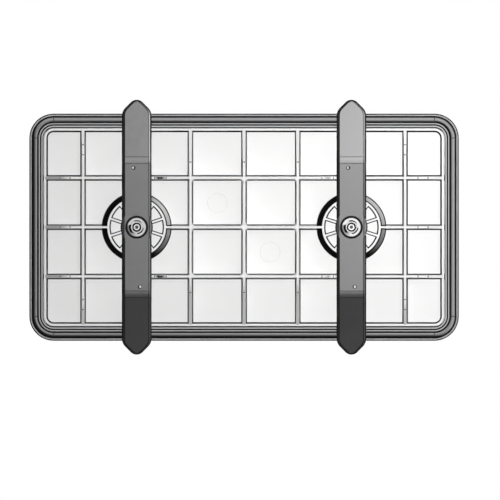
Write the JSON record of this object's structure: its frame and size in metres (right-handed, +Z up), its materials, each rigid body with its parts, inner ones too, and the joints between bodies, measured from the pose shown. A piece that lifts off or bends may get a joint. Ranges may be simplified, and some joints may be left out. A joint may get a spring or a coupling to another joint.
{
  "type": "marine deck hatch",
  "caption": "Rectangular deck hatch with a ribbed white lid, a rim gasket and turn knobs whose screw spindles draw grey clamping bars up under the deck.",
  "frame": {"origin": "middle of the deck cut-out, in the plane of the deck's top face, where the gasket seals", "axes": "+X along the lid's long side, +Y across it along the bars, +Z up out of the deck"},
  "size_m": [0.52, 0.3086, 0.0718],
  "materials": {
    "lid_plastic": "moulded, satin",
    "gasket_rubber": "extruded, matte",
    "knob_plastic": "moulded, satin",
    "brass_insert": "turned",
    "washer_plastic": "smooth",
    "seal_rubber": "smooth",
    "spindle_plastic": "moulded",
    "clip_steel": "stamped stainless",
    "bush_plastic": "moulded",
    "bar_plastic": "moulded, fine grain",
    "screw_steel": "stainless"
  },
  "bodies": {
    "lid": {"lid": "lid_plastic", "gasket": "gasket_rubber"},
    "knob_left": {"knob_left": "knob_plastic", "knob_insert_left": "brass_insert", "thrust_washer_left": "washer_plastic", "spindle_o_ring_left": "seal_rubber", "spindle_left": "spindle_plastic", "retaining_clip_left": "clip_steel", "end_clip_left": "clip_steel", "end_screw_left": "screw_steel"},
    "bush_left": {"thread_bush_left": "bush_plastic"},
    "bar_left": {"bar_left": "bar_plastic"},
    "knob_right": {"knob_right": "knob_plastic", "knob_insert_right": "brass_insert", "thrust_washer_right": "washer_plastic", "spindle_o_ring_right": "seal_rubber", "spindle_right": "spindle_plastic", "retaining_clip_right": "clip_steel", "end_clip_right": "clip_steel", "end_screw_right": "screw_steel"},
    "bush_right": {"thread_bush_right": "bush_plastic"},
    "bar_right": {"bar_right": "bar_plastic"}
  },
  "joints": [
    {"name": "knob_turn_left", "type": "hinge", "parent": "lid", "child": "knob_left", "pos_m": [-0.13, 0, 0], "axis": [0, 0, -1], "range_deg": [0, 840]},
    {"name": "bar_lift_left", "type": "slide", "parent": "lid", "child": "bush_left", "axis": [0, 0, 1], "range_m": [0, 0.01401]},
    {"name": "bar_swing_left", "type": "hinge", "parent": "bush_left", "child": "bar_left", "pos_m": [-0.13, 0, 0], "axis": [0, 0, 1], "range_deg": [0, 45]},
    {"name": "knob_turn_right", "type": "hinge", "parent": "lid", "child": "knob_right", "pos_m": [0.13, 0, 0], "axis": [0, 0, -1], "range_deg": [0, 840]},
    {"name": "bar_lift_right", "type": "slide", "parent": "lid", "child": "bush_right", "axis": [0, 0, 1], "range_m": [0, 0.01401]},
    {"name": "bar_swing_right", "type": "hinge", "parent": "bush_right", "child": "bar_right", "pos_m": [0.13, 0, 0], "axis": [0, 0, 1], "range_deg": [0, 45]}
  ],
  "couplings": [
    {"joint": "bar_lift_left", "follows": "knob_turn_left", "m_per_rad": 0.00095493},
    {"joint": "bar_lift_right", "follows": "knob_turn_right", "m_per_rad": 0.00095493}
  ]
}
